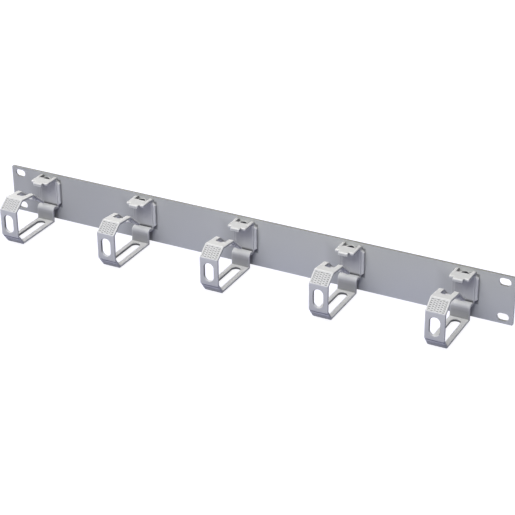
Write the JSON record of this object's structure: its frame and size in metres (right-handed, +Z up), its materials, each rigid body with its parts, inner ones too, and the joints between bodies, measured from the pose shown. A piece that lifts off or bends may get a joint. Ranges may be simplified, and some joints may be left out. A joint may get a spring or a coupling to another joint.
{
  "type": "rack cable management panel",
  "caption": "Flat 19 inch rack panel, one unit high, with a row of open one-piece cable rings whose forked ends leave a gap for laying cables in from above.",
  "frame": {"origin": "centre of the sheet's rear face, in the middle of the four rack slots", "axes": "+X along the panel to the right as seen from the front, +Y into the rack, +Z up; the rings stand out towards -Y"},
  "size_m": [0.4826, 0.0713, 0.0436],
  "materials": {
    "sheet": "light grey powder coat, satin, very fine texture",
    "ring": "light grey injection-moulded plastic, satin"
  },
  "bodies": {
    "root": {"panel": "sheet", "ring_1": "ring", "ring_2": "ring", "ring_3": "ring", "ring_4": "ring", "ring_5": "ring"}
  },
  "joints": []
}
